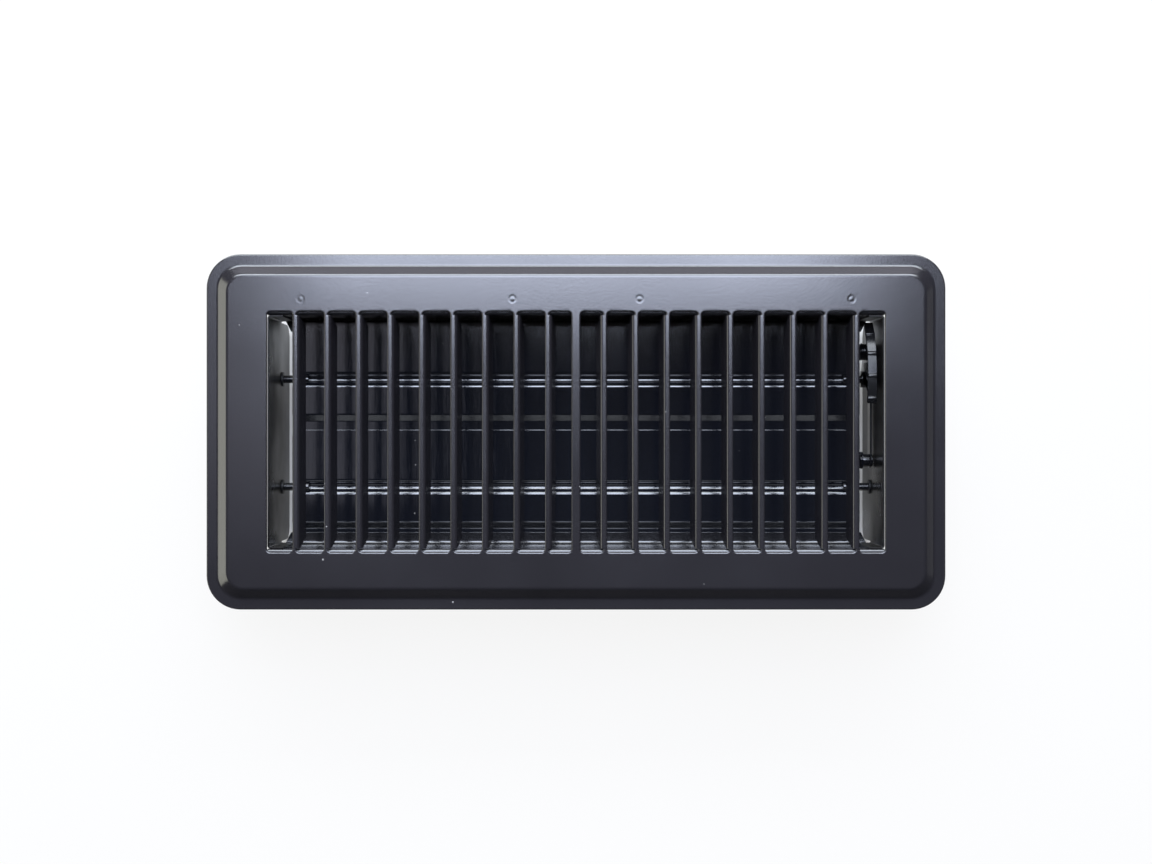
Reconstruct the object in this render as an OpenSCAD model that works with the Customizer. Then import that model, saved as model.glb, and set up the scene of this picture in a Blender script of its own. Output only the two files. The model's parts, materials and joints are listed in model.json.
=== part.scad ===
// Floor register for a 4 x 10 in duct opening: a pressed steel face plate with
// fins bent down between its slots, a sheet-metal box under it, and a damper of
// two lapping blades that a thumb lever turns together through a link bar.
// Lengths are in millimetres and angles in degrees.
// X runs along the long side, Y across it and Z up out of the face. The origin
// is the middle of the footprint, level with the end walls' lower edges, and
// the damper is drawn shut.

/* [Face plate] */
// Length of the face plate
face_l = 292; // [286:1:310]
// Width of the face plate
face_w = 140.4; // [138:0.2:146]
// Radius of the plate's corners in plan
face_corner_r = 13.4; // [12:0.2:18]
// Thickness of the face plate's sheet
face_t = 0.9; // [0.7:0.05:1.1]
// Width of the flat band that lies on the floor
band_w = 4.4; // [3:0.1:5]
// Height of the raised field above the band
field_rise = 3; // [2.5:0.1:4]
// Slope of the riser between band and field
riser_slope = 60; // [50:1:70]
// Radius of the hollow at the riser's foot
foot_r = 0.9; // [0.5:0.1:1.2]
// Radius of the rounded upper edge all round the plate
edge_r = 0.6; // [0.3:0.05:0.65]
// Inside radius of the bends in the plate's sheet
face_bend_r = 0.4; // [0.2:0.05:0.6]
// Diameter of the weld dimples
dimple_d = 4; // [2.5:0.1:5]
// Depth of the weld dimples
dimple_depth = 0.25; // [0.1:0.05:0.35]
// Distance from the middle to the inner weld dimples
dimple_inner_x = 25; // [15:1:60]
// Distance from the middle to the outer weld dimples
dimple_outer_x = 108.4; // [80:0.2:112]

/* [Slots and fins] */
// Number of slats on each side of the middle slat
slats_per_side = 9; // [7:1:9]
// Width of the middle slat
mid_slat_w = 3.6; // [3:0.1:5]
// Width of the two slots beside the middle slat
mid_slot_w = 7.65; // [6:0.05:9]
// Width of every other slat
slat_w = 2.76; // [2.4:0.02:3.2]
// Width of the slot at each end
end_slot_w = 10; // [9:0.1:12]
// Distance from the end slots to the ends of the face plate
end_margin = 24.43; // [22:0.01:27]
// Distance from the slots' ends to the long sides of the face plate
side_margin = 22.9; // [21:0.1:24]
// Corner radius of the slots
slot_r = 1.4; // [0.8:0.1:2]
// Depth of the fins below the top of the face
fin_depth = 8.5; // [6:0.1:9]
// Lean of the fins towards the middle of the face
fin_lean = 10.7; // [4:0.1:14]
// Length by which each end of a fin tapers towards its lower edge
fin_taper = 4; // [1:0.1:6]

/* [Box] */
// Depth of the register below the top of the face
body_depth = 52; // [52:0.5:60]
// Thickness of the box's sheet
box_t = 0.6; // [0.5:0.05:0.8]
// Distance from the slots' ends in to the side walls
wall_inset = 1.3; // [0.8:0.1:2]
// Gap between the side walls' welded flanges and the riser
flange_gap = 3.9; // [1:0.1:7]
// Width of the shelves that the side walls turn in below the blades
shelf_w = 4.7; // [4:0.1:6]
// Length that the shelves' mitred ends are cut back over their width
mitre_l = 3.3; // [1:0.1:5]
// Inside radius of the box's bends
box_bend_r = 0.6; // [0.4:0.1:0.8]
// Inside radius of the shelves' bends
shelf_bend_r = 1.2; // [0.8:0.1:1.4]
// Width of the end walls' side tabs
tab_w = 6.1; // [4:0.1:8]
// Gap between the end walls and the underside of the face
end_top_gap = 0.3; // [0.2:0.1:1]
// Radius of the end walls' lower corners
end_corner_r = 6; // [3:0.5:10]

/* [Damper blades] */
// Depth of the pivots below the top of the face
pivot_depth = 32.5; // [31:0.25:32.5]
// Distance from a blade's middle line to its pivot
pivot_offset = 0.95; // [0.5:0.05:1.5]
// Thickness of the blades' sheet
blade_t = 0.6; // [0.5:0.05:0.7]
// Lap of one blade's edge over the next blade's lip
blade_lap = 0.9; // [0.5:0.1:2]
// Gap between the rear blade's edge and the rear wall
edge_gap = 0.8; // [0.7:0.1:2]
// Gap between the front blade's lip and the front wall
lip_gap = 1.9; // [1:0.1:2.4]
// Gap between a shut blade and the shelf that stops it
stop_gap = 0.3; // [0.2:0.05:0.5]
// Width of the lip along the blade's lower edge
lip_w = 4.5; // [3.5:0.1:6]
// Width of the slope between the blade's flat and its lip
lip_slope_w = 2.7; // [2:0.1:4]
// Inside radius of the bends along the blade
blade_bend_r = 0.9; // [0.5:0.1:1.1]
// Slope of the flanks of the groove that holds the pivot pins
groove_slope = 50; // [45:1:52]
// Inside radius of the bends between the groove and the blade's flat
shoulder_r = 1.2; // [0.8:0.1:1.5]
// Corner radius of the blades in plan
blade_corner_r = 3; // [1:0.5:4]

/* [Pivots] */
// Radius of the pivot pins
pin_r = 1.6; // [1.3:0.05:1.7]
// Length of the pins in the blade's groove
pin_hold = 7; // [5:0.1:9]
// Length of the pins beyond the end walls
pin_stub = 1.3; // [1.1:0.1:2]
// Chamfer at the pins' ends
pin_chamfer = 0.3; // [0.1:0.05:0.5]
// Radial clearance of the pins in what they pass through
pin_run = 0.05; // [0.02:0.01:0.08]
// Wall of the bushes round the pins
bush_wall = 0.6; // [0.4:0.05:0.8]
// Width of the bushes' flanges beyond their bodies
bush_flange_w = 0.65; // [0.4:0.05:0.8]
// Thickness of the bushes' flanges
bush_flange_t = 0.8; // [0.5:0.05:0.9]
// Length of the bushes' snap beads outside the end walls
bush_snap_l = 0.9; // [0.6:0.1:1]
// Height of the bushes' snap beads
bush_snap_h = 0.35; // [0.2:0.05:0.5]
// Radial clearance of the bushes in the end walls
bush_fit = 0.03; // [0.01:0.01:0.06]

/* [Linkage] */
// Distance from the pivot across to the crank hole
crank_y = 11; // [10:0.1:13]
// Height of the crank hole above the pivot
crank_z = 6.75; // [6.6:0.05:8]
// Width of the ear that the blade turns up at its right end
ear_w = 7; // [6.6:0.1:8]
// Width of the relief slits beside the ear
ear_relief = 0.6; // [0.4:0.1:1]
// Radius of the link pins
link_pin_r = 1.5; // [1.2:0.05:1.6]
// Width of the link pins' heads beyond their shanks
link_head_w = 1.1; // [0.6:0.1:1.4]
// Thickness of the link pins' heads
link_head_t = 0.5; // [0.4:0.05:0.6]
// Thickness of the link bar
link_t = 0.8; // [0.6:0.1:1]
// Radius of the link bar's ends
link_end_r = 3; // [2.8:0.1:3.2]
// Radial clearance of the link pins in the link bar
link_run = 0.1; // [0.05:0.01:0.1]
// Side gap between parts that are riveted together
rivet_gap = 0.05; // [0.02:0.01:0.08]
// Thickness of the friction washer
washer_t = 0.5; // [0.4:0.05:0.6]
// Outer radius of the friction washer
washer_r = 2.8; // [2.4:0.1:3]

/* [Thumb lever] */
// Gap between the lever's rim and the top of the face
lever_top_gap = 2.9; // [2.6:0.1:6]
// Gap between the lever's rear end and the rear wall
lever_end_gap = 1.6; // [1.4:0.1:3]
// Angle from upright to the lever's end before the pivot
lever_front_angle = 21; // [10:1:21]
// Width of the lever's rim
rim_w = 3.5; // [3:0.1:4.5]
// Thickness of the lever's rim
rim_t = 1.8; // [1.4:0.1:2.4]
// Number of thumb ridges on the rim
ridge_count = 4; // [2:1:4]
// Angle from the lever's front end to the first thumb ridge
ridge_start = 4; // [3:0.5:8]
// Angle between neighbouring thumb ridges
ridge_pitch = 18; // [8:1:18]
// Radius of the rounded ridges
ridge_r = 1; // [0.8:0.1:1.2]
// Height of the ridges above the rim
ridge_h = 0.6; // [0.3:0.1:0.7]
// Thickness of the lever's web
web_t = 1.3; // [1:0.1:1.6]
// Radius of the lever's hub and crank boss
hub_r = 3.4; // [3.2:0.05:3.45]
// Gap between the blade's end and the lever's web
web_gap = 0.9; // [0.7:0.1:1.4]
// Gap between the lever's web and the link bar
link_gap = 0.4; // [0.4:0.05:0.8]
// Side gap between moving parts beside the pivots
side_gap = 0.3; // [0.25:0.05:0.35]

/* [Hidden] */
$fn = 48;
bend_steps = 6;
paint = "#17181c";
moulding = "#0c0c0e";

// Heights of the face plate
field_z = body_depth;
band_z = field_z - field_rise;
under_z = field_z - face_t;

// Section of the border, measured out from the centre of a corner
foot_u = face_corner_r - band_w - (foot_r + face_t / 2) * tan(riser_slope / 2);
shoulder_u = foot_u - field_rise / tan(riser_slope);
shoulder_set = (face_bend_r + face_t / 2) * tan(riser_slope / 2);
field_u = shoulder_u - shoulder_set - face_t;

// Slots and slats, measured out from the middle of the face
fin_turn = 90 - fin_lean;
fin_set = (face_bend_r + face_t) * sin(fin_turn);
first_slat_x = mid_slat_w / 2 + mid_slot_w;
grille_x = face_l / 2 - end_margin;
pitch = (grille_x - end_slot_w - slat_w - first_slat_x) / (slats_per_side - 1);
slot_y = face_w / 2 - side_margin;
slat_edges = [for (i = [0:slats_per_side - 1]) first_slat_x + i * pitch];
hole_starts = concat([mid_slat_w / 2], [for (x = slat_edges) x + slat_w]);
hole_ends = concat([for (x = slat_edges) x + fin_set], [grille_x]);

// Box walls
wall_out_x = grille_x;
wall_in_x = wall_out_x - box_t;
wall_in_y = slot_y - wall_inset;
wall_out_y = wall_in_y + box_t;
flange_y = face_w / 2 - face_corner_r + field_u - flange_gap;
shelf_y = wall_in_y - shelf_w;

// Damper: each blade turns about an axis along X at pivot_z
pivot_z = field_z - pivot_depth;
blade_w = (2 * wall_in_y - edge_gap - lip_gap + blade_lap) / 2;
blade_reach = blade_w / 2 + pivot_offset;
lip_reach = blade_w / 2 - pivot_offset;
rear_y = wall_in_y - edge_gap - blade_reach;
front_y = rear_y - (blade_w - blade_lap);
shelf_top_z = pivot_z - blade_t / 2 - stop_gap;
lip_drop = stop_gap * 2 + box_t + blade_t;
tab_bottom_z = shelf_top_z + shelf_bend_r + stop_gap;

// Stack of parts along X between the blades' right ends and the right wall
blade_end_gap = web_gap + web_t + link_gap + link_t + rivet_gap + link_head_t + side_gap;
blade_x = wall_in_x - blade_end_gap;
ear_x = blade_x - blade_t;
web_x = blade_x + web_gap;
hub_end_x = web_x + web_t + side_gap;
rim_end_x = web_x + web_t + link_gap - side_gap;
link_x = web_x + web_t + link_gap;
bush_x = wall_in_x - bush_flange_t;
washer_x = (hub_end_x + bush_x - washer_t) / 2;

// Radii of the pivots and the linkage
bore_r = pin_r + pin_run;
bush_r = bore_r + bush_wall;
link_bore_r = link_pin_r + link_run;
link_head_r = link_pin_r + link_head_w;
lever_r = pivot_depth - lever_top_gap;
lever_rear_angle = asin((wall_in_y - lever_end_gap - rear_y) / lever_r);
rim_r = lever_r - ridge_h;

// Vector helpers for the outline of a bent strip of sheet
function left_of(v) = [-v[1], v[0]];
function turn_of(a, b) = atan2(cross(a, b), a * b);
function turned(v, q) = [v[0] * cos(q) - v[1] * sin(q), v[0] * sin(q) + v[1] * cos(q)];
function reversed(list) = [for (i = [len(list) - 1:-1:0]) list[i]];
function headings(path) = [
    for (i = [0:len(path) - 2]) (path[i + 1] - path[i]) / norm(path[i + 1] - path[i])
];

// Arc round corner p between headings a and b, at distance off to the left of the path
function bend(p, a, b, r, off) =
    let (q = turn_of(a, b))
    let (s = sign(q))
    let (start = p - a * r * tan(abs(q) / 2))
    let (centre = start + left_of(a) * s * r)
    let (arm = left_of(a) * (off - s * r))
    [for (k = [0:bend_steps]) centre + turned(arm, q * k / bend_steps)];

// One side of a strip that follows path and turns its corners with radii r
function strip_side(path, r, off) =
    let (h = headings(path))
    let (last = len(path) - 1)
    concat(
        [path[0] + left_of(h[0]) * off],
        [for (i = [1:last - 1]) each bend(path[i], h[i - 1], h[i], r[i - 1], off)],
        [path[last] + left_of(h[last - 1]) * off]
    );

// Closed outline of a strip of thickness t
function strip(path, r, t) =
    concat(strip_side(path, r, t / 2), reversed(strip_side(path, r, -t / 2)));

// Direction at an angle from upright towards +Y, in the YZ plane
function upright(a) = [sin(a), cos(a)];

module along_x(x0, x1) {
    translate([x0, 0, 0])
        rotate([90, 0, 90])
            linear_extrude(x1 - x0)
                children();
}

module along_y(length) {
    rotate([90, 0, 0])
        linear_extrude(length, center = true)
            children();
}

// Turns a profile of (radius, X) points about the X axis
module about_x() {
    rotate([0, 90, 0])
        rotate_extrude()
            children();
}

module on_side(s) {
    if (s < 0) {
        mirror([1, 0, 0])
            children();
    } else {
        children();
    }
}

module at_pivot(y) {
    translate([0, y, pivot_z])
        children();
}

module at_crank(y) {
    translate([0, y + crank_y, pivot_z + crank_z])
        children();
}

module rounded_rect(w, h, r) {
    square([w - 2 * r, h], center = true);
    square([w, h - 2 * r], center = true);
    for (x = [-1, 1], y = [-1, 1]) {
        translate([x * (w / 2 - r), y * (h / 2 - r)])
            circle(r);
    }
}

// Middle of the border's sheet, from the band in to the field
border_path = [
    [face_corner_r, band_z - face_t / 2],
    [foot_u, band_z - face_t / 2],
    [shoulder_u, field_z - face_t / 2],
    [field_u, field_z - face_t / 2]
];
border_radii = [foot_r + face_t / 2, face_bend_r + face_t / 2];

module border_section() {
    under = strip_side(border_path, border_radii, face_t / 2);
    top = strip_side(border_path, border_radii, -face_t / 2);
    rounded_edge = [
        for (a = [90:-90 / bend_steps:0])
            [face_corner_r - edge_r * (1 - cos(a)), band_z - edge_r * (1 - sin(a))]
    ];
    polygon(concat(under, reversed([for (i = [1:len(top) - 1]) top[i]]), rounded_edge));
}

module border() {
    corner_x = face_l / 2 - face_corner_r;
    corner_y = face_w / 2 - face_corner_r;
    for (s = [-1, 1]) {
        on_side(s)
            translate([corner_x, 0, 0])
                along_y(2 * corner_y)
                    border_section();
        rotate(90 * s)
            translate([corner_y, 0, 0])
                along_y(2 * corner_x)
                    border_section();
        translate([s * corner_x, s * corner_y, 0])
            rotate(90 - 90 * s)
                rotate_extrude(angle = 90)
                    border_section();
        translate([s * corner_x, -s * corner_y, 0])
            rotate(-90 * s)
                rotate_extrude(angle = 90)
                    border_section();
    }
}

module slots() {
    for (i = [0:slats_per_side]) {
        width = hole_ends[i] - hole_starts[i];
        middle = (hole_ends[i] + hole_starts[i]) / 2;
        for (s = [-1, 1]) {
            translate([s * middle, 0])
                rounded_rect(width, 2 * slot_y, slot_r);
        }
    }
}

module field() {
    inset = face_corner_r - field_u;
    translate([0, 0, under_z]) {
        linear_extrude(face_t) {
            difference() {
                rounded_rect(face_l - 2 * inset, face_w - 2 * inset, field_u);
                slots();
            }
        }
    }
}

// A fin of the right half: it turns down at the slat's inner edge and leans to the middle
module fin() {
    r = face_bend_r + face_t / 2;
    drop = fin_depth - face_t / 2;
    corner = -r * tan(fin_turn / 2);
    root = (slat_w - fin_set) / 2;
    path = [[root, 0], [corner, 0], [corner - drop * tan(fin_lean), -drop]];
    top_y = slot_y - slot_r;
    intersection() {
        translate([fin_set, 0, field_z - face_t / 2])
            along_y(2 * top_y)
                polygon(strip(path, [r], face_t));
        along_x(-fin_depth, fin_depth)
            polygon([
                [top_y, field_z],
                [-top_y, field_z],
                [-top_y, under_z - face_bend_r],
                [fin_taper - top_y, field_z - fin_depth],
                [top_y - fin_taper, field_z - fin_depth],
                [top_y, under_z - face_bend_r]
            ]);
    }
}

module dimples() {
    ball_r = (dimple_d * dimple_d / 4 + dimple_depth * dimple_depth) / (2 * dimple_depth);
    for (x = [dimple_inner_x, dimple_outer_x], s = [-1, 1], t = [-1, 1]) {
        translate([s * x, t * (wall_out_y + flange_y) / 2, field_z - dimple_depth + ball_r])
            sphere(ball_r);
    }
}

module faceplate() {
    color(paint) {
        difference() {
            union() {
                border();
                field();
                for (s = [-1, 1], x = slat_edges) {
                    on_side(s)
                        translate([x, 0, 0])
                            fin();
                }
            }
            dimples();
        }
    }
}

// A side wall is one channel: welded flange, wall, and shelf with mitred ends
module side_wall() {
    wall_y = wall_in_y + box_t / 2;
    path = [
        [flange_y, under_z - box_t / 2],
        [wall_y, under_z - box_t / 2],
        [wall_y, shelf_top_z - box_t / 2],
        [shelf_y, shelf_top_z - box_t / 2]
    ];
    mitre_x = blade_x + stop_gap + mitre_l;
    cut_x = wall_out_x + box_t;
    color(paint) {
        difference() {
            along_x(-wall_out_x, wall_out_x)
                polygon(strip(path, [box_bend_r + box_t / 2, shelf_bend_r + box_t / 2], box_t));
            for (s = [-1, 1]) {
                linear_extrude(tab_bottom_z)
                    polygon([
                        [s * (mitre_x - mitre_l), shelf_y - box_t],
                        [s * mitre_x, wall_out_y + box_t],
                        [s * cut_x, wall_out_y + box_t],
                        [s * cut_x, shelf_y - box_t]
                    ]);
            }
        }
    }
}

// An end wall is a plate with a bent tab along each side wall, pierced for the bushes
module end_wall() {
    top_z = under_z - end_top_gap;
    plate_y = wall_in_y - box_t - box_bend_r;
    tab_y = wall_in_y - box_t / 2;
    plate_x = wall_in_x + box_t / 2;
    path = [
        [wall_out_x - tab_w, tab_y],
        [plate_x, tab_y],
        [plate_x, -tab_y],
        [wall_out_x - tab_w, -tab_y]
    ];
    r = box_bend_r + box_t / 2;
    color(paint) {
        difference() {
            union() {
                translate([0, 0, tab_bottom_z])
                    linear_extrude(top_z - tab_bottom_z)
                        polygon(strip(path, [r, r], box_t));
                along_x(wall_in_x, wall_out_x) {
                    translate([0, tab_bottom_z / 2 + end_corner_r])
                        rounded_rect(2 * plate_y, tab_bottom_z + 2 * end_corner_r, end_corner_r);
                }
            }
            for (y = [rear_y, front_y]) {
                at_pivot(y)
                    along_x(wall_in_x - box_t, wall_out_x + box_t)
                        circle(bush_r + bush_fit);
            }
        }
    }
}

// Section of a blade about its pivot: flat, groove under the pins, flat, slope and lip
groove_rc = bore_r + blade_t / 2;
groove_low = groove_rc / cos(groove_slope);
groove_y = groove_low / tan(groove_slope);
blade_path = [
    [blade_reach, 0],
    [groove_y, 0],
    [0, -groove_low],
    [-groove_y, 0],
    [lip_w + lip_slope_w - lip_reach, 0],
    [lip_w - lip_reach, -lip_drop],
    [-lip_reach, -lip_drop]
];
bend_rc = blade_bend_r + blade_t / 2;
shoulder_rc = shoulder_r + blade_t / 2;
blade_radii = [shoulder_rc, groove_rc, shoulder_rc, bend_rc, bend_rc];

module blade_sheet() {
    zone = 2 * blade_corner_r + groove_low;
    ear_slot = ear_w + 2 * ear_relief;
    difference() {
        intersection() {
            along_x(-blade_x, blade_x)
                polygon(strip(blade_path, blade_radii, blade_t));
            translate([0, pivot_offset, -zone])
                linear_extrude(2 * zone)
                    rounded_rect(2 * blade_x, blade_w, blade_corner_r);
        }
        translate([blade_x - blade_bend_r - blade_t, crank_y - ear_slot / 2, -zone])
            cube([2 * blade_t + blade_bend_r, ear_slot, 2 * zone]);
    }
}

// The ear turns up from the blade's right end and carries the link pin
module ear() {
    path = [
        [blade_x - 2 * (blade_bend_r + blade_t), 0],
        [blade_x - blade_t / 2, 0],
        [blade_x - blade_t / 2, crank_z]
    ];
    difference() {
        union() {
            translate([0, crank_y, 0])
                along_y(ear_w)
                    polygon(strip(path, [bend_rc], blade_t));
            translate([0, crank_y, crank_z])
                along_x(ear_x, blade_x)
                    circle(ear_w / 2);
        }
        translate([0, crank_y, crank_z])
            along_x(ear_x - blade_t, blade_x + blade_t)
                circle(link_pin_r + rivet_gap);
    }
}

module blade(y) {
    color(paint) {
        at_pivot(y) {
            blade_sheet();
            ear();
        }
    }
}

module pivot_pin(s, y) {
    inner = blade_x - pin_hold;
    outer = wall_out_x + pin_stub;
    color(paint) {
        on_side(s)
            at_pivot(y)
                about_x()
                    polygon([
                        [0, inner],
                        [pin_r - pin_chamfer, inner],
                        [pin_r, inner + pin_chamfer],
                        [pin_r, outer - pin_chamfer],
                        [pin_r - pin_chamfer, outer],
                        [0, outer]
                    ]);
    }
}

module pivot_bush(s, y) {
    snap_x = wall_out_x + bush_fit;
    color(moulding) {
        on_side(s)
            at_pivot(y)
                about_x()
                    polygon([
                        [bore_r, bush_x],
                        [bush_r + bush_flange_w, bush_x],
                        [bush_r + bush_flange_w, wall_in_x],
                        [bush_r, wall_in_x],
                        [bush_r, snap_x],
                        [bush_r + bush_snap_h, snap_x],
                        [bush_r, snap_x + bush_snap_l],
                        [bore_r, snap_x + bush_snap_l]
                    ]);
    }
}

// The lever's sector of a disc about the pivot, in the YZ plane
module lever_sector(r) {
    middle = (lever_rear_angle - lever_front_angle) / 2;
    reach = 2 * r;
    intersection() {
        circle(r);
        polygon([
            [0, 0],
            reach * upright(-lever_front_angle),
            reach * upright(middle),
            reach * upright(lever_rear_angle)
        ]);
    }
}

module lever_web() {
    arm = [crank_y, crank_z];
    lever_sector(rim_r);
    circle(hub_r);
    translate(arm)
        circle(hub_r);
    polygon([
        hub_r * left_of(arm) / norm(arm),
        -hub_r * left_of(arm) / norm(arm),
        arm - hub_r * left_of(arm) / norm(arm),
        arm + hub_r * left_of(arm) / norm(arm)
    ]);
}

module lever_rim() {
    first_ridge = ridge_start - lever_front_angle;
    difference() {
        lever_sector(rim_r);
        circle(rim_r - rim_t);
    }
    for (i = [0:ridge_count - 1]) {
        translate((lever_r - ridge_r) * upright(first_ridge + i * ridge_pitch))
            circle(ridge_r);
    }
}

module thumb_lever() {
    color(moulding) {
        difference() {
            union() {
                at_pivot(rear_y) {
                    along_x(web_x, web_x + web_t)
                        lever_web();
                    along_x(rim_end_x - rim_w, rim_end_x)
                        lever_rim();
                    along_x(blade_x + side_gap, hub_end_x)
                        circle(hub_r);
                }
                at_crank(rear_y)
                    along_x(blade_x + rivet_gap, web_x + web_t)
                        circle(hub_r);
            }
            at_pivot(rear_y)
                along_x(blade_x, link_x)
                    circle(bore_r);
            at_crank(rear_y)
                along_x(blade_x, link_x)
                    circle(link_pin_r + rivet_gap);
        }
    }
}

module friction_washer() {
    color(moulding) {
        at_pivot(rear_y)
            about_x()
                translate([bore_r, washer_x])
                    square([washer_r - bore_r, washer_t]);
    }
}

module link_bar() {
    spacing = rear_y - front_y;
    color(paint) {
        at_crank(rear_y) {
            along_x(link_x, link_x + link_t) {
                difference() {
                    union() {
                        translate([-spacing, -link_end_r])
                            square([spacing, 2 * link_end_r]);
                        circle(link_end_r);
                        translate([-spacing, 0])
                            circle(link_end_r);
                    }
                    circle(link_bore_r);
                    translate([-spacing, 0])
                        circle(link_bore_r);
                }
            }
        }
    }
}

// A link pin is a rivet through the ear and the link bar, with a shoulder if one is given
module link_pin(y, shoulder_r) {
    inner = ear_x - rivet_gap;
    outer = link_x + link_t + rivet_gap;
    rounding = link_head_t / 3;
    color(paint) {
        at_crank(y)
            about_x()
                polygon([
                    [0, inner - link_head_t],
                    [link_head_r - rounding, inner - link_head_t],
                    [link_head_r, inner - link_head_t + rounding],
                    [link_head_r, inner],
                    [link_pin_r, inner],
                    [link_pin_r, blade_x + rivet_gap],
                    [shoulder_r, blade_x + rivet_gap],
                    [shoulder_r, link_x - 2 * rivet_gap],
                    [link_pin_r, link_x - 2 * rivet_gap],
                    [link_pin_r, outer],
                    [link_head_r, outer],
                    [link_head_r, outer + link_head_t - rounding],
                    [link_head_r - rounding, outer + link_head_t],
                    [0, outer + link_head_t]
                ]);
    }
}

faceplate();
side_wall();  // side_wall_rear
mirror([0, 1, 0]) side_wall();  // side_wall_front
on_side(-1) end_wall();  // end_wall_left
end_wall();  // end_wall_right
blade(rear_y);  // blade_rear
blade(front_y);  // blade_front
pivot_pin(-1, rear_y);  // pivot_pin_rear_left
pivot_pin(1, rear_y);  // pivot_pin_rear_right
pivot_pin(-1, front_y);  // pivot_pin_front_left
pivot_pin(1, front_y);  // pivot_pin_front_right
pivot_bush(-1, rear_y);  // pivot_bush_rear_left
pivot_bush(1, rear_y);  // pivot_bush_rear_right
pivot_bush(-1, front_y);  // pivot_bush_front_left
pivot_bush(1, front_y);  // pivot_bush_front_right
thumb_lever();
friction_washer();
link_bar();
link_pin(rear_y, link_pin_r);  // link_pin_rear
link_pin(front_y, link_head_r);  // link_pin_front
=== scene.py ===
import json
import math

import bmesh
import bpy
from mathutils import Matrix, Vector


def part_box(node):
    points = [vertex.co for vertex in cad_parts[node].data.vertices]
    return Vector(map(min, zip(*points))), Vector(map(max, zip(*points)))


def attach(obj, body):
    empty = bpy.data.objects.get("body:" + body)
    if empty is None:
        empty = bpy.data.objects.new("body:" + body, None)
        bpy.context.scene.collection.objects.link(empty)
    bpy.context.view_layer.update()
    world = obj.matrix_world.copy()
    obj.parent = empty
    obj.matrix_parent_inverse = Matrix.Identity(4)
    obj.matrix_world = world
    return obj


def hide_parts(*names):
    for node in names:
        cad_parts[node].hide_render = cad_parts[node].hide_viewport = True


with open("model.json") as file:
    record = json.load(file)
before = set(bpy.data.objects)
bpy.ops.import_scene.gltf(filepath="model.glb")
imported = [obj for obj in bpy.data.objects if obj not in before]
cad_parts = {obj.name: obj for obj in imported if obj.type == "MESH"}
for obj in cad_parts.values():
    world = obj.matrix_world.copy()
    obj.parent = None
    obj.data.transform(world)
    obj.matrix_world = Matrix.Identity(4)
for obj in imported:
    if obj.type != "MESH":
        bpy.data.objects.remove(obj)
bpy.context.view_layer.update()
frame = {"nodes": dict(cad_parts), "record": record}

# Looks of a black floor register: a pressed louvred face over a sheet-metal box,
# with a two-blade damper and its thumb lever. Lengths are in metres, angles in degrees.
mm = 0.001
faceEnd, faceSide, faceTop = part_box("faceplate")[1]


def addNode(tree, kind, inputs=None, **settings):
    node = tree.nodes.new(kind)
    for name, value in settings.items():
        setattr(node, name, value)
    for name, value in (inputs or {}).items():
        node.inputs[name].default_value = value
    return node


def newGroup(name, inputs, outputs):
    group = bpy.data.node_groups.new(name, "ShaderNodeTree")
    for label, value in inputs.items():
        socket = group.interface.new_socket(label, in_out="INPUT", socket_type="NodeSocketFloat")
        socket.default_value = value
    for label in outputs:
        group.interface.new_socket(label, in_out="OUTPUT", socket_type="NodeSocketFloat")
    return group, group.nodes.new("NodeGroupInput"), group.nodes.new("NodeGroupOutput")


# Baked enamel: a fine grain over slow ripples, as a height from 0 to 1
def makeOrangePeel():
    group, start, end = newGroup(
        "orangePeel",
        {"Grain Scale": 1000, "Ripple Scale": 120, "Ripple Share": 0.3, "Stretch": 1.0},
        ["Height"],
    )
    place = addNode(group, "ShaderNodeTexCoord")
    stretch = addNode(group, "ShaderNodeCombineXYZ", {"X": 1.0, "Z": 1.0})
    squeezed = addNode(group, "ShaderNodeVectorMath", operation="MULTIPLY")
    grain = addNode(group, "ShaderNodeTexNoise", {"Detail": 0.7, "Roughness": 0.4})
    ripple = addNode(group, "ShaderNodeTexNoise", {"Detail": 1.0, "Roughness": 0.4})
    blend = addNode(group, "ShaderNodeMix", data_type="FLOAT")
    group.links.new(place.outputs["Object"], squeezed.inputs[0])
    group.links.new(start.outputs["Stretch"], stretch.inputs["Y"])
    group.links.new(stretch.outputs[0], squeezed.inputs[1])
    for noise, scale in ((grain, "Grain Scale"), (ripple, "Ripple Scale")):
        group.links.new(squeezed.outputs[0], noise.inputs["Vector"])
        group.links.new(start.outputs[scale], noise.inputs["Scale"])
    group.links.new(start.outputs["Ripple Share"], blend.inputs[0])
    group.links.new(grain.outputs[0], blend.inputs[2])
    group.links.new(ripple.outputs[0], blend.inputs[3])
    group.links.new(blend.outputs[0], end.inputs["Height"])
    return group


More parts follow.
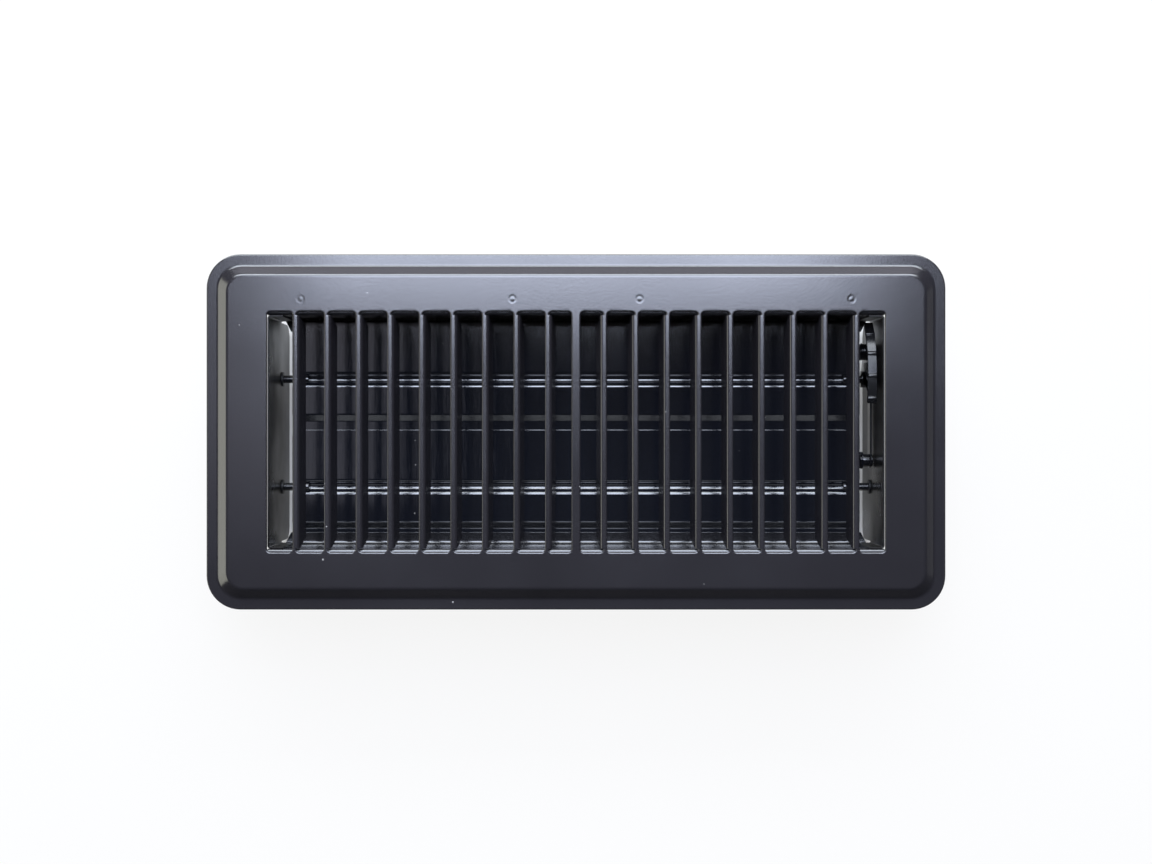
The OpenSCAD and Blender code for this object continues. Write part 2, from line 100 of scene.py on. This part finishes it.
# Pale specks that have settled on surfaces facing up
def makeDust():
    group, start, end = newGroup(
        "settledDust", {"Cell Scale": 60, "Speck Size": 0.02, "Kept Share": 0.3}, ["Mask"]
    )
    place = addNode(group, "ShaderNodeTexCoord")
    cells = addNode(group, "ShaderNodeTexVoronoi", voronoi_dimensions="2D")
    colour = addNode(group, "ShaderNodeSeparateColor")
    kept = addNode(group, "ShaderNodeMath", operation="LESS_THAN")
    size = addNode(group, "ShaderNodeMath", operation="MULTIPLY")
    near = addNode(group, "ShaderNodeMath", operation="LESS_THAN")
    speck = addNode(group, "ShaderNodeMath", operation="MULTIPLY")
    surface = addNode(group, "ShaderNodeNewGeometry")
    parts = addNode(group, "ShaderNodeSeparateXYZ")
    facingUp = addNode(group, "ShaderNodeMath", {1: 0.8}, operation="GREATER_THAN")
    mask = addNode(group, "ShaderNodeMath", operation="MULTIPLY")
    group.links.new(place.outputs["Object"], cells.inputs["Vector"])
    group.links.new(start.outputs["Cell Scale"], cells.inputs["Scale"])
    group.links.new(cells.outputs["Color"], colour.inputs[0])
    group.links.new(colour.outputs[0], kept.inputs[0])
    group.links.new(start.outputs["Kept Share"], kept.inputs[1])
    group.links.new(colour.outputs[1], size.inputs[0])
    group.links.new(start.outputs["Speck Size"], size.inputs[1])
    group.links.new(cells.outputs["Distance"], near.inputs[0])
    group.links.new(size.outputs[0], near.inputs[1])
    group.links.new(kept.outputs[0], speck.inputs[0])
    group.links.new(near.outputs[0], speck.inputs[1])
    group.links.new(surface.outputs["Normal"], parts.inputs[0])
    group.links.new(parts.outputs["Z"], facingUp.inputs[0])
    group.links.new(speck.outputs[0], mask.inputs[0])
    group.links.new(facingUp.outputs[0], mask.inputs[1])
    group.links.new(mask.outputs[0], end.inputs["Mask"])
    return group


# Thin rub marks that run down the box's sheet; where they are pale, on the end walls, they are partly painted
# sheen
def makeRubMarksAndSheen():
    group, start, end = newGroup(
        "rubMarksAndSheen", {"Mark Scale": 30, "Stretch": 0.06, "Threshold": 0.66}, ["Mask"]
    )
    place = addNode(group, "ShaderNodeTexCoord")
    stretch = addNode(group, "ShaderNodeCombineXYZ", {"X": 1.0, "Y": 1.0})
    squeezed = addNode(group, "ShaderNodeVectorMath", operation="MULTIPLY")
    marks = addNode(group, "ShaderNodeTexNoise", {"Detail": 5.0, "Roughness": 0.7, "Distortion": 0.6})
    fade = addNode(group, "ShaderNodeMath", {1: 0.05}, operation="ADD")
    mask = addNode(group, "ShaderNodeMapRange")
    group.links.new(place.outputs["Object"], squeezed.inputs[0])
    group.links.new(start.outputs["Stretch"], stretch.inputs["Z"])
    group.links.new(stretch.outputs[0], squeezed.inputs[1])
    group.links.new(squeezed.outputs[0], marks.inputs["Vector"])
    group.links.new(start.outputs["Mark Scale"], marks.inputs["Scale"])
    group.links.new(marks.outputs[0], mask.inputs["Value"])
    group.links.new(start.outputs["Threshold"], mask.inputs["From Min"])
    group.links.new(start.outputs["Threshold"], fade.inputs[0])
    group.links.new(fade.outputs[0], mask.inputs["From Max"])
    group.links.new(mask.outputs[0], end.inputs["Mask"])
    return group


orangePeel = makeOrangePeel()
settledDust = makeDust()
rubMarksAndSheen = makeRubMarksAndSheen()


# A finish: drifting colour and roughness, peel as bump, rub marks (partly painted sheen on the end walls) and
# dust on top
def makeFinish(name, look):
    material = bpy.data.materials.new(name)
    material.use_nodes = True
    tree = material.node_tree
    shader = tree.nodes["Principled BSDF"]
    shader.inputs["Specular IOR Level"].default_value = look["specular"]
    shader.inputs["Coat Weight"].default_value = look["coat"]
    shader.inputs["Coat Roughness"].default_value = look["coatRoughness"]
    place = addNode(tree, "ShaderNodeTexCoord")
    drift = addNode(tree, "ShaderNodeTexNoise", {"Scale": look["driftScale"], "Detail": 3.0})
    tree.links.new(place.outputs["Object"], drift.inputs["Vector"])

    colour = addNode(tree, "ShaderNodeMix", data_type="RGBA")
    colour.inputs[6].default_value = (*look["colours"][0], 1)
    colour.inputs[7].default_value = (*look["colours"][1], 1)
    tree.links.new(drift.outputs[0], colour.inputs[0])
    roughness = addNode(
        tree,
        "ShaderNodeMapRange",
        {"From Min": 0.3, "From Max": 0.7, "To Min": look["roughness"][0], "To Max": look["roughness"][1]},
    )
    tree.links.new(drift.outputs[0], roughness.inputs["Value"])

    # Rub marks: wear, and on the end walls partly painted sheen
    marks = addNode(
        tree,
        "ShaderNodeGroup",
        {"Mark Scale": look["markScale"], "Threshold": look["markThreshold"]},
        node_tree=rubMarksAndSheen,
    )
    wornAndSheen = addNode(tree, "ShaderNodeMix", data_type="RGBA")
    wornAndSheen.inputs[7].default_value = (*look["markColour"], 1)
    tree.links.new(marks.outputs["Mask"], wornAndSheen.inputs[0])
    tree.links.new(colour.outputs[2], wornAndSheen.inputs[6])

    dust = addNode(
        tree,
        "ShaderNodeGroup",
        {"Cell Scale": look["dustScale"], "Speck Size": look["speckSize"], "Kept Share": look["dustShare"]},
        node_tree=settledDust,
    )
    dusty = addNode(tree, "ShaderNodeMix", data_type="RGBA")
    dusty.inputs[7].default_value = (*look["dustColour"], 1)
    tree.links.new(dust.outputs["Mask"], dusty.inputs[0])
    tree.links.new(wornAndSheen.outputs[2], dusty.inputs[6])
    tree.links.new(dusty.outputs[2], shader.inputs["Base Color"])

    dull = addNode(tree, "ShaderNodeMix", {3: 0.8}, data_type="FLOAT")
    tree.links.new(dust.outputs["Mask"], dull.inputs[0])
    tree.links.new(roughness.outputs[0], dull.inputs[2])
    tree.links.new(dull.outputs[0], shader.inputs["Roughness"])

    peel = addNode(
        tree,
        "ShaderNodeGroup",
        {
            "Grain Scale": look["peelGrain"],
            "Ripple Scale": look["peelRipple"],
            "Ripple Share": look["rippleShare"],
            "Stretch": look["peelStretch"],
        },
        node_tree=orangePeel,
    )
    bump = addNode(tree, "ShaderNodeBump", {"Strength": 1.0, "Distance": look["peelHeight"]})
    tree.links.new(peel.outputs["Height"], bump.inputs["Height"])
    tree.links.new(bump.outputs[0], shader.inputs["Normal"])
    return material


# Semi-gloss blue-black enamel of the face
facePaint = {
    "colours": ((0.019, 0.0175, 0.021), (0.023, 0.0215, 0.026)),
    "driftScale": 22,
    "roughness": (0.16, 0.20),
    "specular": 1.0,
    "coat": 0.0,
    "coatRoughness": 0.1,
    "peelGrain": 1300,
    "peelRipple": 240,
    "rippleShare": 0.15,
    "peelStretch": 1.0,
    "peelHeight": 0.008 * mm,
    "markScale": 18,
    "markThreshold": 0.74,
    "markColour": (0.03, 0.03, 0.035),
    "dustScale": 60,
    "speckSize": 0.022,
    "dustShare": 0.12,
    "dustColour": (0.35, 0.34, 0.33),
}

# Glossier enamel of the box, rubbed a little
boxPaint = {
    "colours": ((0.010, 0.010, 0.012), (0.015, 0.015, 0.018)),
    "driftScale": 30,
    "roughness": (0.10, 0.16),
    "specular": 1.0,
    "coat": 0.0,
    "coatRoughness": 0.06,
    "peelGrain": 700,
    "peelRipple": 90,
    "rippleShare": 0.5,
    "peelStretch": 1.0,
    "peelHeight": 0.008 * mm,
    "markScale": 34,
    "markThreshold": 0.66,
    "markColour": (0.04, 0.04, 0.044),
    "dustScale": 110,
    "speckSize": 0.025,
    "dustShare": 0.1,
    "dustColour": (0.3, 0.29, 0.28),
}

# The same on the end walls, dulled by handling, with darker colours that are painted shade, and with paler,
# denser rub marks that are partly wear and partly painted sheen
shadedEndPaint = {
    **boxPaint,
    "colours": ((0.006, 0.0055, 0.0055), (0.012, 0.011, 0.010)),
    "roughness": (0.24, 0.45),
    "specular": 0.35,
    "markThreshold": 0.6,
    "markColour": (0.06, 0.056, 0.052),
}

# Deep gloss of the blades
bladePaint = {
    "colours": ((0.007, 0.008, 0.012), (0.010, 0.0115, 0.018)),
    "driftScale": 26,
    "roughness": (0.05, 0.08),
    "specular": 1.0,
    "coat": 0.5,
    "coatRoughness": 0.04,
    "peelGrain": 9000,
    "peelRipple": 60,
    "rippleShare": 0.0,
    "peelStretch": 0.01,
    "peelHeight": 0.01 * mm,
    "markScale": 24,
    "markThreshold": 0.74,
    "markColour": (0.02, 0.02, 0.024),
    "dustScale": 90,
    "speckSize": 0.025,
    "dustShare": 0.12,
    "dustColour": (0.3, 0.29, 0.28),
}

# Glossy black moulding of the lever
leverPlastic = {
    "colours": ((0.008, 0.008, 0.009), (0.012, 0.012, 0.013)),
    "driftScale": 60,
    "roughness": (0.20, 0.28),
    "specular": 0.5,
    "coat": 0.0,
    "coatRoughness": 0.1,
    "peelGrain": 1500,
    "peelRipple": 200,
    "rippleShare": 0.4,
    "peelStretch": 1.0,
    "peelHeight": 0.015 * mm,
    "markScale": 60,
    "markThreshold": 0.7,
    "markColour": (0.03, 0.03, 0.03),
    "dustScale": 140,
    "speckSize": 0.03,
    "dustShare": 0.25,
    "dustColour": (0.3, 0.3, 0.28),
}

# Duller black moulding of the bushes and the washer
bushPlastic = {
    "colours": ((0.010, 0.010, 0.011), (0.015, 0.015, 0.016)),
    "driftScale": 80,
    "roughness": (0.42, 0.52),
    "specular": 0.45,
    "coat": 0.0,
    "coatRoughness": 0.1,
    "peelGrain": 2200,
    "peelRipple": 300,
    "rippleShare": 0.2,
    "peelStretch": 1.0,
    "peelHeight": 0.02 * mm,
    "markScale": 80,
    "markThreshold": 0.75,
    "markColour": (0.03, 0.03, 0.03),
    "dustScale": 160,
    "speckSize": 0.03,
    "dustShare": 0.2,
    "dustColour": (0.25, 0.25, 0.24),
}

finishes = {
    "paint": makeFinish("facePaint", facePaint),
    "box_paint": makeFinish("boxPaint", boxPaint),
    "blade_paint": makeFinish("bladePaint", bladePaint),
    "lever_plastic": makeFinish("leverPlastic", leverPlastic),
    "bush_plastic": makeFinish("bushPlastic", bushPlastic),
}
# The end walls' enamel: painted shade in its colours, painted sheen in its pale streaks
shadedEndFinish = makeFinish("shadedEndPaint", shadedEndPaint)
print("finishes made:", len(finishes))


def mergedMesh(node):
    bm = bmesh.new()
    bm.from_mesh(frame["nodes"][node].data)
    bmesh.ops.remove_doubles(bm, verts=bm.verts, dist=0.001 * mm)
    bmesh.ops.dissolve_limit(bm, angle_limit=math.radians(0.2), verts=bm.verts, edges=bm.edges)
    bm.normal_update()
    return bm


def creases(bm, angle):
    return [e for e in bm.edges if e.is_manifold and e.calc_face_angle(0) > math.radians(angle)]


def roundEdges(bm, edges, radius, segments):
    bmesh.ops.bevel(
        bm,
        geom=edges,
        offset=radius,
        offset_type="OFFSET",
        affect="EDGES",
        segments=segments,
        profile=0.5,
        material=-1,
        clamp_overlap=False,
        loop_slide=True,
    )
    bmesh.ops.remove_doubles(bm, verts=bm.verts, dist=0.001 * mm)
    bm.normal_update()


def dressNode(bm, node, body, slot, smoothAngle):
    mesh = bpy.data.meshes.new(node + ".finished")
    bm.to_mesh(mesh)
    bm.free()
    mesh.materials.append(finishes[slot])
    mesh.shade_smooth()
    mesh.set_sharp_from_angle(angle=math.radians(smoothAngle))
    piece = bpy.data.objects.new(mesh.name, mesh)
    bpy.context.scene.collection.objects.link(piece)
    shading = piece.modifiers.new("WeightedNormal", "WEIGHTED_NORMAL")
    shading.keep_sharp = True
    shading.weight = 80
    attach(piece, body)
    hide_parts(node)
    print("dressed", node, "with", len(mesh.polygons), "faces")
    return piece


# The face plate: rolled edges round the slots, and a slight softening elsewhere
facePlate = {
    "creaseAngle": 50,
    "slotEdge": 0.6 * mm,
    "slotSegments": 5,
    "otherEdge": 0.12 * mm,
    "otherSegments": 2,
    "smoothAngle": 35,
    "level": 0.01 * mm,
    "longEdge": 20 * mm,
    "slatCut": 0.74 * mm,
    "slotCut": 4 * mm,
    "endCut": 1.5 * mm,
    "edgeStrip": 0.4 * mm,
    "slotCorner": 1.4 * mm,
    "cornerRadius": 13.4 * mm,
    "riserFoot": 9 * mm,
    "riserTop": 5.9 * mm,
    "riserStretch": 1.7,
    "footShift": 0.5 * mm,
    "cornerEase": 0.45,
    "riserWidth": 5.1 * mm,
    "riserRise": 3 * mm,
    "riserBend": 1.83 * mm,
    "riserSlope": 38,
    "sheet": 0.9 * mm,
}

# Weld marks: a low pimple in a sunk ring, higher in the rear row
weldMarks = {
    "spots": (
        (-108.4 * mm, 52.3 * mm, 0.03 * mm),
        (-25 * mm, 52.3 * mm, 0.045 * mm),
        (25 * mm, 52.3 * mm, 0.045 * mm),
        (108.4 * mm, 52.3 * mm, 0.05 * mm),
        (-108.4 * mm, -52.3 * mm, 0.015 * mm),
        (-25 * mm, -52.3 * mm, 0.02 * mm),
        (25 * mm, -52.3 * mm, 0.02 * mm),
        (108.4 * mm, -52.3 * mm, 0.02 * mm),
    ),
    "search": 2.1 * mm,
    "depth": 0.3 * mm,
    "border": 2.0 * mm,
    "rim": 1.85 * mm,
    "foot": 1.25 * mm,
    "rings": 6,
}


# Height of the riser above its foot: a bend, a straight slope and a bend
def riserHeight(across, look):
    bend = look["riserBend"]
    turn = bend * math.sin(math.radians(look["riserSlope"]))
    if across < turn:
        return bend - math.sqrt(bend ** 2 - across ** 2)
    if across > look["riserWidth"] - turn:
        return look["riserRise"] - bend + math.sqrt(bend ** 2 - (look["riserWidth"] - across) ** 2)
    middle = across - look["riserWidth"] / 2
    return look["riserRise"] / 2 + middle * math.tan(math.radians(look["riserSlope"]))


# The riser's shoulder is drawn in, so that it slopes less steeply and turns its corners wider
def easeRiser(bm, look):
    centre = Vector((faceEnd - look["cornerRadius"], faceSide - look["cornerRadius"]))
    for v in bm.verts:
        out = Vector((abs(v.co.x), abs(v.co.y))) - centre
        at = Vector((max(out.x, 0), max(out.y, 0)))
        if not look["riserTop"] < at.length < look["riserFoot"] + look["level"]:
            continue
        inward = max(look["riserFoot"] - at.length, 0) * look["riserStretch"]
        across = min(inward, look["riserWidth"])
        drawn = across * look["cornerEase"]
        radius = look["riserFoot"] + look["footShift"] - across
        for k in range(2):
            if out[k] > -look["level"]:
                place = centre[k] - drawn + at.normalized()[k] * (radius + drawn)
                v.co[k] = math.copysign(place, v.co[k])
        v.co.z = faceTop - look["riserRise"] + riserHeight(across, look)
        if v.normal.z < 0:
            v.co.z -= look["sheet"]


def onTop(vert, look):
    return abs(vert.co.z - faceTop) < look["level"]


def topCreases(bm, look):
    return [e for e in creases(bm, look["creaseAngle"]) if all(onTop(v, look) for v in e.verts)]


# Cuts the top into cells with one edge of a slot each, so that the rounding stays even
def cutTop(bm, look):
    edges = topCreases(bm, look)
    sides = {
        round(e.verts[0].co.x, 5)
        for e in edges
        if abs(e.verts[0].co.y - e.verts[1].co.y) > look["longEdge"]
    }
    slotEnd = max(abs(v.co.y) for e in edges for v in e.verts)
    slats = sorted(x for x in sides if abs(x) < max(sides) - look["slotCut"])
    lines = [(x + math.copysign(gap, x), 0) for x in slats for gap in (-look["slatCut"], look["slotCut"])]
    lines += [(0, s * (slotEnd + gap)) for gap in (-look["slotCorner"], look["endCut"]) for s in (-1, 1)]
    shoulder = look["riserFoot"] + look["footShift"] - look["riserWidth"] - look["edgeStrip"]
    lines += [(0, s * (faceSide - look["cornerRadius"] + shoulder)) for s in (-1, 1)]
    lines += [(s * (faceEnd - look["cornerRadius"] + shoulder), 0) for s in (-1, 1)]
    lines.append((0, 0))
    for x, y in lines:
        top = [f for f in bm.faces if all(onTop(v, look) for v in f.verts)]
        geometry = {part for f in top for part in (f, *f.edges, *f.verts)}
        cut = bmesh.ops.bisect_plane(
            bm,
            geom=list(geometry),
            plane_co=(x, y, 0),
            plane_no=(1, 0, 0) if x else (0, 1, 0),
            dist=0.001 * mm,
        )
        for part in cut["geom_cut"]:
            if isinstance(part, bmesh.types.BMEdge):
                part.seam = True
    bmesh.ops.dissolve_limit(
        bm, angle_limit=math.radians(0.2), verts=bm.verts, edges=bm.edges, delimit={"SEAM"}
    )
    print("face cut along", len(lines), "lines")


def shapeWeldMarks(bm, look):
    for x, y, height in look["spots"]:
        centre = Vector((x, y, faceTop))
        hollow = [
            f
            for f in bm.faces
            if (f.calc_center_median() - centre).length < look["search"]
            and f.normal.z > 0.5
            and min(v.co.z for v in f.verts) < faceTop - 0.001 * mm
            and min(v.co.z for v in f.verts) > faceTop - look["depth"]
        ]
        bmesh.ops.delete(bm, geom=hollow, context="FACES")
        loop = [
            e
            for e in bm.edges
            if e.is_boundary and all((v.co - centre).length < look["search"] for v in e.verts)
        ]
        setRing(loop, centre, look["border"], 0)
        loop = addRing(bm, loop, centre, look["rim"], 0)
        loop = addRing(bm, loop, centre, look["foot"], -height)
        for k in range(1, look["rings"]):
            share = k / look["rings"]
            drop = height * (1 + math.cos(math.pi * share)) / 2
            loop = addRing(bm, loop, centre, look["foot"] * (1 - share), -drop)
        bmesh.ops.edgeloop_fill(bm, edges=loop)
    bm.normal_update()
    print("weld marks shaped:", len(look["spots"]))


def setRing(loop, centre, radius, height):
    for v in {v for e in loop for v in e.verts}:
        arm = Vector((v.co.x - centre.x, v.co.y - centre.y, 0)).normalized() * radius
        v.co = centre + arm + Vector((0, 0, height))


def addRing(bm, loop, centre, radius, height):
    made = bmesh.ops.extrude_edge_only(bm, edges=loop)["geom"]
    inner = [part for part in made if isinstance(part, bmesh.types.BMEdge)]
    verts = {part for part in made if isinstance(part, bmesh.types.BMVert)}
    inner = [e for e in inner if e.is_boundary and all(v in verts for v in e.verts)]
    setRing(inner, centre, radius, height)
    return inner


def dressFacePlate(look, marks):
    bm = mergedMesh("faceplate")
    easeRiser(bm, look)
    cutTop(bm, look)
    shapeWeldMarks(bm, marks)
    roundEdges(bm, topCreases(bm, look), look["slotEdge"], look["slotSegments"])
    roundEdges(bm, creases(bm, look["creaseAngle"]), look["otherEdge"], look["otherSegments"])
    return dressNode(bm, "faceplate", "housing", "paint", look["smoothAngle"])


# The other pieces: edge radius, segments and crease angle by material slot
edgeLooks = {
    "box_paint": (0.08 * mm, 2, 50),
    "blade_paint": (0.27 * mm, 4, 50),
    "lever_plastic": (0.15 * mm, 2, 50),
    "bush_plastic": (0.06 * mm, 2, 50),
}


def dressOthers(looks):
    record = frame["record"]
    slots = {part["node"]: part["material_slot"] for part in record["subparts"]}
    for body, nodes in record["behaviour"]["bodies"].items():
        for node in nodes:
            if node == "faceplate":
                continue
            radius, segments, angle = looks[slots[node]]
            bm = mergedMesh(node)
            roundEdges(bm, creases(bm, angle), radius, segments)
            piece = dressNode(bm, node, body, slots[node], 35)
            # End walls take the darker enamel: painted shade, with streaks of painted sheen
            if node.startswith("end_wall"):
                piece.data.materials[0] = shadedEndFinish
                piece.modifiers["WeightedNormal"].weight = 100


dressFacePlate(facePlate, weldMarks)
dressOthers(edgeLooks)
print("pieces dressed")

# Camera: straight above the middle, as far off as the shift of the deep parts shows
camera = {"height": 0.700, "lens": 55.63, "sensor": 36.0}


def addCamera(look):
    data = bpy.data.cameras.new("camera")
    data.lens = look["lens"]
    data.sensor_width = look["sensor"]
    eye = bpy.data.objects.new("camera", data)
    eye.location = (0, 0, faceTop + look["height"])
    bpy.context.scene.collection.objects.link(eye)
    bpy.context.scene.camera = eye


addCamera(camera)

# Studio: a low window behind the face, a wall above it, a small glow overhead, and pale
# cards at the left
lamps = {
    "window": {
        "place": (0, 1.357, 0.848),
        "aim": (0, 0, 0),
        "size": (2.2, 0.45),
        "radiance": 9.0,
        "colour": (0.88, 0.93, 1.0),
    },
    "sill": {
        "place": (0, 1.582, 0.236),
        "aim": (0, 0, 0),
        "size": (2.4, 0.31),
        "radiance": 1.3,
        "colour": (0.9, 0.9, 1.0),
    },
    "wall": {
        "place": (0, 1.028, 1.226),
        "aim": (0, 0, 0),
        "size": (1.5, 0.68),
        "radiance": 5.5,
        "colour": (0.80, 0.88, 1.0),
    },
    "glow": {
        "place": (0, 0.435, 1.35),
        "aim": (0, 0.435, 0),
        "size": (0.645, 0.57),
        "radiance": 10.0,
        "colour": (0.74, 0.81, 1.0),
    },
    "leftPanel": {
        "place": (-1.2, 0, 0.33),
        "aim": (0, 0, 0.05),
        "size": (1.2, 0.7),
        "radiance": 2.0,
        "colour": (1.0, 1.0, 0.87),
    },
    "leftHaze": {
        "place": (-0.43, 0.05, 1.6),
        "aim": (0, 0, 0.05),
        "size": (0.25, 0.4),
        "radiance": 0.45,
        "colour": (0.85, 0.85, 1.0),
    },
}


def addLamps(looks):
    for name, look in looks.items():
        data = bpy.data.lights.new(name, "AREA")
        data.shape = "RECTANGLE"
        data.size, data.size_y = look["size"]
        data.color = look["colour"]
        data.energy = look["radiance"] * math.pi * data.size * data.size_y
        lamp = bpy.data.objects.new(name, data)
        lamp.location = look["place"]
        toAim = Vector(look["aim"]) - Vector(look["place"])
        lamp.rotation_euler = toAim.to_track_quat("-Z", "Y").to_euler()
        lamp.visible_camera = False
        bpy.context.scene.collection.objects.link(lamp)


addLamps(lamps)

# Surroundings: pale near the horizon, dim overhead
surroundings = {"horizon": 0.85, "overhead": 0.03, "paleBelow": -0.02, "dimAbove": 0.03}


def addWorld(look):
    world = bpy.data.worlds.new("studio")
    world.use_nodes = True
    bpy.context.scene.world = world
    tree = world.node_tree
    sky = tree.nodes["Background"]
    place = addNode(tree, "ShaderNodeTexCoord")
    parts = addNode(tree, "ShaderNodeSeparateXYZ")
    level = addNode(
        tree,
        "ShaderNodeMapRange",
        {
            "From Min": look["paleBelow"],
            "From Max": look["dimAbove"],
            "To Min": look["horizon"],
            "To Max": look["overhead"],
        },
        interpolation_type="SMOOTHSTEP",
    )
    tree.links.new(place.outputs["Generated"], parts.inputs[0])
    tree.links.new(parts.outputs["Z"], level.inputs["Value"])
    tree.links.new(level.outputs[0], sky.inputs["Color"])


addWorld(surroundings)

# Floor: white to the camera and in reflections, with the object's shadow kept; under the box
# its white glow is cut back, which is painted shade added to the real shadow there
floorLook = {
    "size": 20.0,
    "colour": (0.8, 0.8, 0.8, 1),
    "whiteShare": 0.89,
    "underShare": 0.22,
    "boxHalf": (0.1212, 0.0466),
    "underFrom": 1.0,
    "underTo": 1.06,
}


# Mask of painted shade: the glow's share is underShare under the box and 1 beyond it
def addPaintedShadeUnderBox(tree, look):
    place = addNode(tree, "ShaderNodeTexCoord")
    parts = addNode(tree, "ShaderNodeSeparateXYZ")
    further = addNode(tree, "ShaderNodeMath", operation="MAXIMUM")
    mask = addNode(
        tree,
        "ShaderNodeMapRange",
        {"From Min": look["underFrom"], "From Max": look["underTo"], "To Min": look["underShare"], "To Max": 1.0},
    )
    tree.links.new(place.outputs["Object"], parts.inputs[0])
    for k, half in enumerate(look["boxHalf"]):
        size = addNode(tree, "ShaderNodeMath", operation="ABSOLUTE")
        share = addNode(tree, "ShaderNodeMath", {1: half}, operation="DIVIDE")
        tree.links.new(parts.outputs[k], size.inputs[0])
        tree.links.new(size.outputs[0], share.inputs[0])
        tree.links.new(share.outputs[0], further.inputs[k])
    tree.links.new(further.outputs[0], mask.inputs["Value"])
    return mask.outputs[0]


def addFloor(look):
    bm = bmesh.new()
    bmesh.ops.create_grid(bm, x_segments=1, y_segments=1, size=look["size"])
    mesh = bpy.data.meshes.new("floor")
    bm.to_mesh(mesh)
    bm.free()
    material = bpy.data.materials.new("floorWhite")
    material.use_nodes = True
    tree = material.node_tree
    tree.nodes.remove(tree.nodes["Principled BSDF"])
    matte = addNode(tree, "ShaderNodeBsdfDiffuse", {"Color": look["colour"]})
    glow = addNode(tree, "ShaderNodeEmission", {"Strength": 1.0})
    path = addNode(tree, "ShaderNodeLightPath")
    seen = addNode(tree, "ShaderNodeMath", operation="MAXIMUM")
    shown = addNode(tree, "ShaderNodeMath", operation="MAXIMUM")
    share = addNode(tree, "ShaderNodeMath", {1: look["whiteShare"]}, operation="MULTIPLY")
    placed = addNode(tree, "ShaderNodeMath", operation="MULTIPLY")
    blend = addNode(tree, "ShaderNodeMixShader")
    tree.links.new(path.outputs["Is Camera Ray"], seen.inputs[0])
    tree.links.new(path.outputs["Is Glossy Ray"], seen.inputs[1])
    tree.links.new(seen.outputs[0], shown.inputs[0])
    tree.links.new(path.outputs["Is Transmission Ray"], shown.inputs[1])
    tree.links.new(shown.outputs[0], share.inputs[0])
    tree.links.new(share.outputs[0], placed.inputs[0])
    tree.links.new(addPaintedShadeUnderBox(tree, look), placed.inputs[1])
    tree.links.new(placed.outputs[0], blend.inputs[0])
    tree.links.new(matte.outputs[0], blend.inputs[1])
    tree.links.new(glow.outputs[0], blend.inputs[2])
    tree.links.new(blend.outputs[0], tree.nodes["Material Output"].inputs["Surface"])
    mesh.materials.append(material)
    floor = bpy.data.objects.new("floor", mesh)
    bpy.context.scene.collection.objects.link(floor)


addFloor(floorLook)
bpy.context.scene.view_settings.view_transform = "Standard"
print("studio ready")
